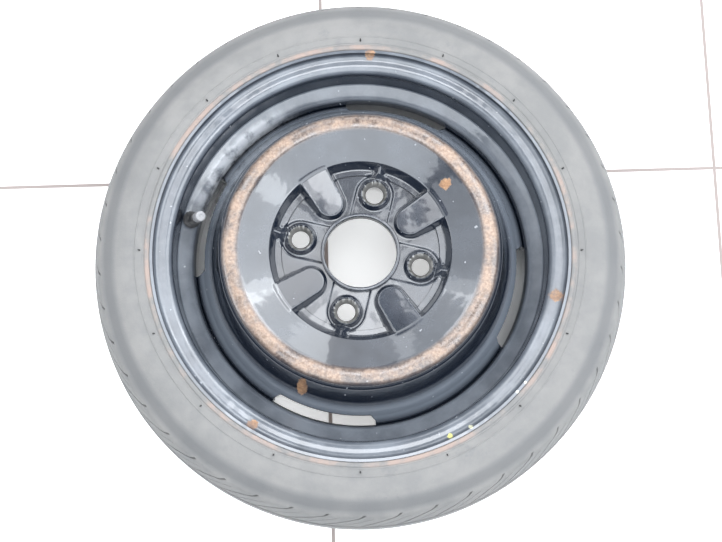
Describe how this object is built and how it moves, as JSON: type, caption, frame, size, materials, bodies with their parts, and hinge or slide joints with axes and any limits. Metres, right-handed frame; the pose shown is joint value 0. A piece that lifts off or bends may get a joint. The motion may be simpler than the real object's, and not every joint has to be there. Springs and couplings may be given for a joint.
{
  "type": "spare wheel",
  "caption": "Compact temporary spare wheel: narrow tyre on a rolled steel rim, pressed disc with tongues between the lug seats, collared hub bore and a capped snap-in valve.",
  "frame": {"origin": "on the wheel axis, in the face of the disc that bolts to the hub", "axes": "+Z along the wheel axis towards the street side, +X to the right and +Y away from the viewer in the picture; the wheel lies on its back sidewall"},
  "size_m": [0.5026, 0.5026, 0.1274],
  "materials": {
    "tyre_rubber": "dusty matt rubber",
    "black_paint": "gloss black enamel, rusty on the crown",
    "valve_rubber": "matt black rubber",
    "valve_brass": "dull brass",
    "spring_steel": "bright wire",
    "cap_plastic": "worn grey plastic"
  },
  "bodies": {
    "wheel": {"tyre": "tyre_rubber", "rim": "black_paint", "wheel_disc": "black_paint", "weld_beads": "black_paint", "valve_body": "valve_rubber", "valve_stem": "valve_brass", "valve_core": "valve_brass", "valve_spring": "spring_steel"},
    "pin": {"valve_pin": "valve_brass", "valve_seal": "valve_rubber"},
    "cap": {"valve_cap": "cap_plastic"}
  },
  "joints": [
    {"name": "pin_press", "type": "slide", "parent": "wheel", "child": "pin", "axis": [-0.4115, 0.0965, -0.9063], "range_m": [0, 0.0015], "stiffness_N_per_m": 1500, "deforming": ["valve_spring"]},
    {"name": "cap_off", "type": "slide", "parent": "wheel", "child": "cap", "axis": [0.4115, -0.0965, 0.9063], "range_m": [0, 0.0095]}
  ]
}
